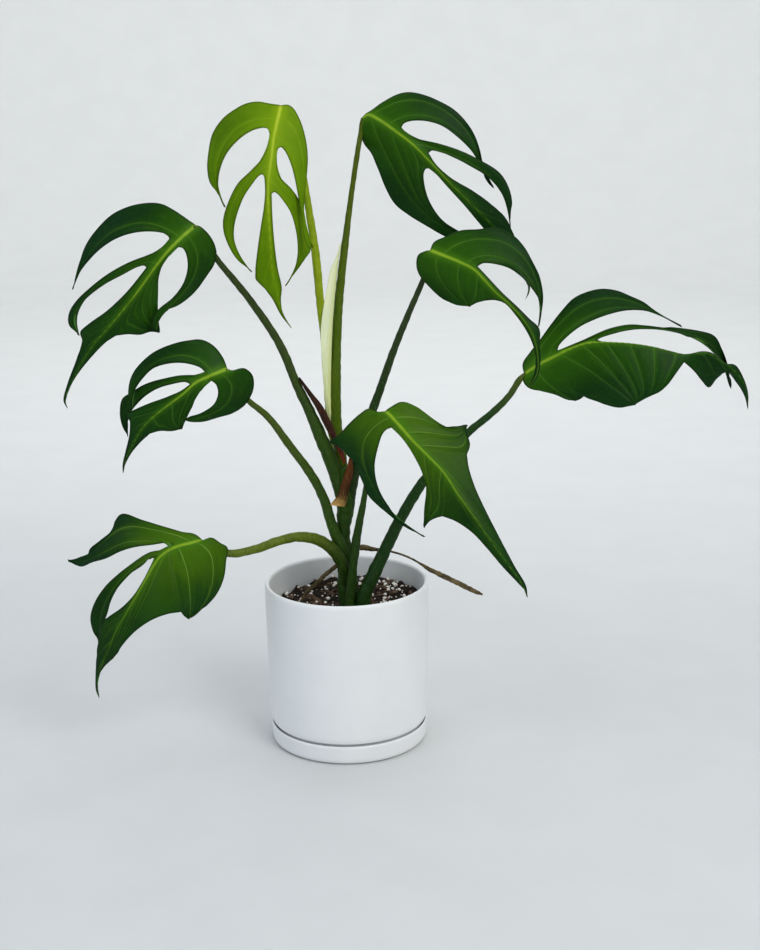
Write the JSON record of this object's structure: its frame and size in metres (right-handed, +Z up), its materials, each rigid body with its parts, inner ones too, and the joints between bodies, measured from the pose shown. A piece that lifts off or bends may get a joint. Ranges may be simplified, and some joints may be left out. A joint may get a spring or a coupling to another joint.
{
  "type": "potted monstera",
  "caption": "Potted climbing monstera with long curved stalks and drooping blades cut into finger lobes, in a plain white cylinder pot on its saucer.",
  "frame": {"origin": "middle of the saucer's flat underside", "axes": "+Z up along the pot's axis, -Y towards the side that the blades face, +X to the right of that side seen from the front"},
  "size_m": [0.6697, 0.2144, 0.6363],
  "materials": {
    "white_glaze": "satin",
    "potting_mix": "rough, dark, with white perlite",
    "green_shoot": "satin",
    "green_stalk": "satin",
    "new_stalk": "satin",
    "green_blade": "gloss",
    "new_blade": "satin",
    "pale_sheath": "satin",
    "dry_sheath": "matt",
    "aerial_root": "matt"
  },
  "bodies": {
    "root": {"saucer": "white_glaze", "pot": "white_glaze", "soil": "potting_mix", "shoot": "green_shoot", "petiole_1": "new_stalk", "petiole_2": "green_stalk", "petiole_3": "green_stalk", "petiole_4": "green_stalk", "petiole_5": "green_stalk", "petiole_6": "green_stalk", "petiole_7": "green_stalk", "petiole_8": "green_stalk", "leaf_1": "new_blade", "leaf_2": "green_blade", "leaf_3": "green_blade", "leaf_4": "green_blade", "leaf_5": "green_blade", "leaf_6": "green_blade", "leaf_7": "green_blade", "leaf_8": "green_blade", "pale_sheath": "pale_sheath", "dry_sheath_upper": "dry_sheath", "dry_sheath_lower": "dry_sheath", "aerial_root_right": "aerial_root", "aerial_root_left": "aerial_root"}
  },
  "joints": []
}
